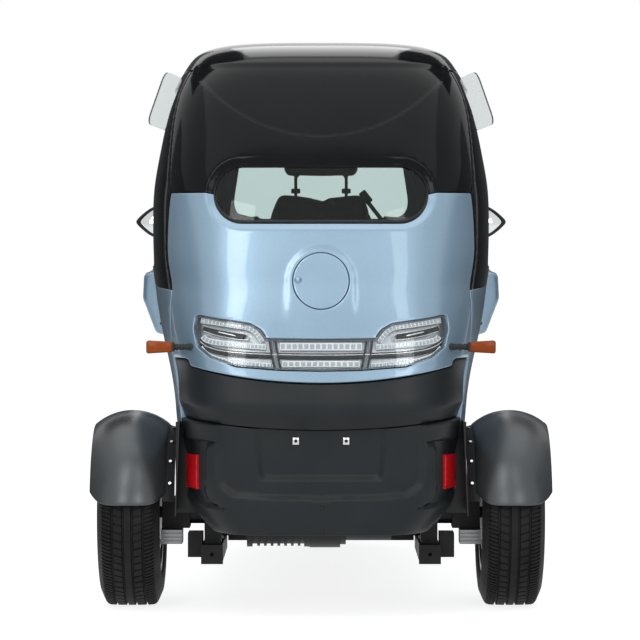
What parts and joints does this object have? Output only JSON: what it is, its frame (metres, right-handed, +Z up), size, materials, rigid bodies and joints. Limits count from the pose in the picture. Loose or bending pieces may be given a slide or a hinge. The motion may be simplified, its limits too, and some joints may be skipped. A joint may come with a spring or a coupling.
{
  "type": "enclosed electric tricycle",
  "caption": "Enclosed electric tricycle with a rounded hinged-door cabin, driven rear wheels under mudguards, and a steered front wheel under the nose.",
  "frame": {"origin": "middle of the footprint, on the ground", "axes": "+Y forward along the vehicle, +X to its right, +Z up"},
  "size_m": [1.204, 2.269, 1.525],
  "materials": {
    "blue_paint": "light ice blue metallic paint, glossy",
    "gloss_black": "glossy black",
    "grey_plastic": "satin dark grey moulded plastic",
    "dark_paint": "satin black painted steel",
    "bright_metal": "bright cast alloy",
    "clear_glass": "clear glass, faint green",
    "tinted_glass": "dark tinted glass",
    "seat_fabric": "dark woven cover",
    "tyre_rubber": "black rubber",
    "black_trim": "matt black",
    "red_lens": "red reflector plastic",
    "amber_lens": "amber lens plastic",
    "lamp_lens": "clear lamp lens over a bright reflector"
  },
  "bodies": {
    "chassis": {"chassis_frame": "dark_paint", "floor_pan": "black_trim", "battery_pack": "dark_paint", "rear_axle": "dark_paint", "drive_motor": "dark_paint", "trailing_arms": "dark_paint", "rear_shocks": "bright_metal", "brake_calipers": "bright_metal", "rear_mudguards": "grey_plastic", "rear_panel": "blue_paint", "roof_panel": "gloss_black", "side_panels": "blue_paint", "quarter_frames": "gloss_black", "quarter_glass": "tinted_glass", "vent_panes": "clear_glass", "nose_panel": "blue_paint", "front_bumper": "grey_plastic", "front_frame": "gloss_black", "front_wings": "blue_paint", "windscreen": "clear_glass", "rear_window": "clear_glass", "rear_bumper": "grey_plastic", "rear_valance": "grey_plastic", "plate_panel": "black_trim", "tail_lamps": "lamp_lens", "rear_indicators": "amber_lens", "rear_reflectors": "red_lens", "headlamps": "lamp_lens", "mirrors": "gloss_black", "driver_seat": "seat_fabric", "driver_headrest": "seat_fabric", "passenger_bench": "seat_fabric", "dashboard": "black_trim", "wiper": "black_trim", "charge_port": "black_trim", "charge_socket": "black_trim", "door_hinges": "dark_paint"},
    "charge_lid": {"charge_lid": "blue_paint"},
    "door_right": {"door_right": "blue_paint", "door_glass_right": "tinted_glass", "door_handle_right": "black_trim", "door_knuckles_right": "dark_paint"},
    "door_left": {"door_left": "blue_paint", "door_glass_left": "tinted_glass", "door_handle_left": "black_trim", "door_knuckles_left": "dark_paint"},
    "steering": {"fork": "dark_paint", "handlebar": "black_trim", "front_mudguard": "black_trim"},
    "front_wheel": {"tyre_front": "tyre_rubber", "rim_front": "bright_metal"},
    "rear_wheel_right": {"tyre_rear_right": "tyre_rubber", "rim_rear_right": "bright_metal"},
    "rear_wheel_left": {"tyre_rear_left": "tyre_rubber", "rim_rear_left": "bright_metal"}
  },
  "joints": [
    {"name": "door_right_hinge", "type": "hinge", "parent": "chassis", "child": "door_right", "pos_m": [0.43, 0.5235, 0.8], "axis": [0, 0, 1], "range_deg": [0, 65]},
    {"name": "door_left_hinge", "type": "hinge", "parent": "chassis", "child": "door_left", "pos_m": [-0.43, 0.5235, 0.8], "axis": [0, 0, -1], "range_deg": [0, 65]},
    {"name": "charge_lid_hinge", "type": "hinge", "parent": "chassis", "child": "charge_lid", "pos_m": [0.0735, -1.064, 0.868], "axis": [0, 0.3261, 0.9453], "range_deg": [0, 100]},
    {"name": "steering_turn", "type": "hinge", "parent": "chassis", "child": "steering", "pos_m": [0, 0.745, 0.225], "axis": [0, -0.4067, 0.9135], "range_deg": [-35, 35]},
    {"name": "front_wheel_spin", "type": "hinge", "parent": "steering", "child": "front_wheel", "pos_m": [0, 0.785, 0.225], "axis": [-1, 0, 0], "continuous": true},
    {"name": "rear_wheel_right_spin", "type": "hinge", "parent": "chassis", "child": "rear_wheel_right", "pos_m": [0.51, -0.715, 0.247], "axis": [-1, 0, 0], "continuous": true},
    {"name": "rear_wheel_left_spin", "type": "hinge", "parent": "chassis", "child": "rear_wheel_left", "pos_m": [-0.51, -0.715, 0.247], "axis": [-1, 0, 0], "continuous": true}
  ]
}
